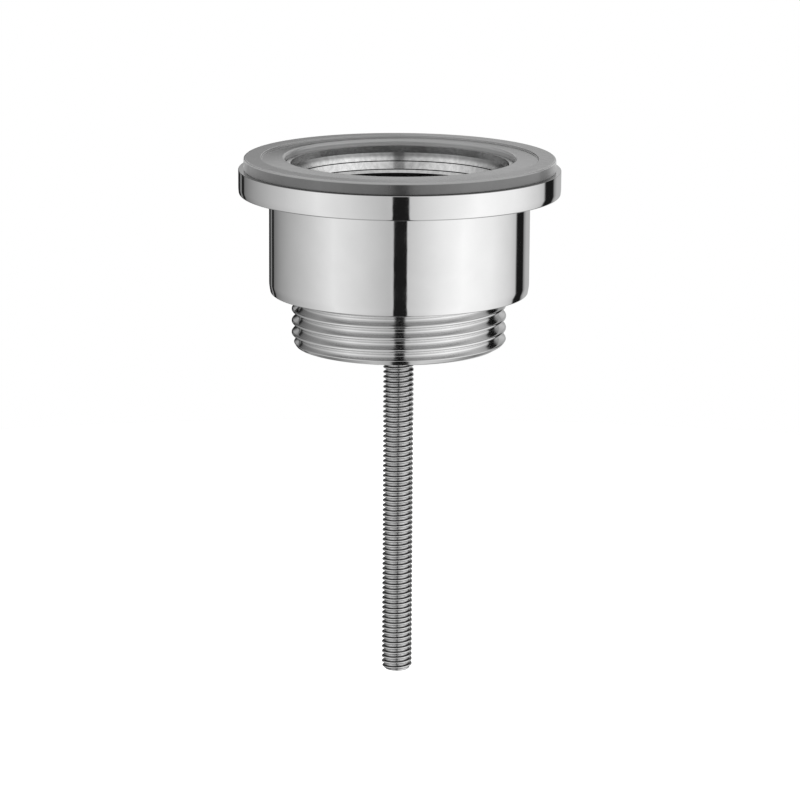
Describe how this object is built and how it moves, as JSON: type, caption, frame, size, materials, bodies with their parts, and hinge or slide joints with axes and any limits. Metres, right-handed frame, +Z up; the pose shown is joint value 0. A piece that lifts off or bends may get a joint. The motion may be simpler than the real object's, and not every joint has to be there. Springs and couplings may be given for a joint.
{
  "type": "basin waste lower body",
  "caption": "Chrome basin waste body with a wide flange, a translucent seal ring on it, a threaded spigot for the trap and a long tie screw hanging from the hub in its bore.",
  "frame": {"origin": "on the axis, in the plane where the top of the seal meets the underside of the basin", "axes": "+Z up along the axis of the waste, towards the basin; the spider has an arm along +Y"},
  "size_m": [0.0626, 0.0626, 0.1031],
  "materials": {
    "chrome": "polished chrome plate",
    "seal_rubber": "translucent grey soft rubber",
    "screw_steel": "bright zinc-plated steel"
  },
  "bodies": {
    "body": {"waste_body": "chrome", "flange_seal": "seal_rubber"},
    "tie_screw": {"tie_screw": "screw_steel"}
  },
  "joints": [
    {"name": "tie_screw_travel", "type": "slide", "parent": "body", "child": "tie_screw", "axis": [0, 0, 1], "range_m": [0, 0.074]}
  ]
}
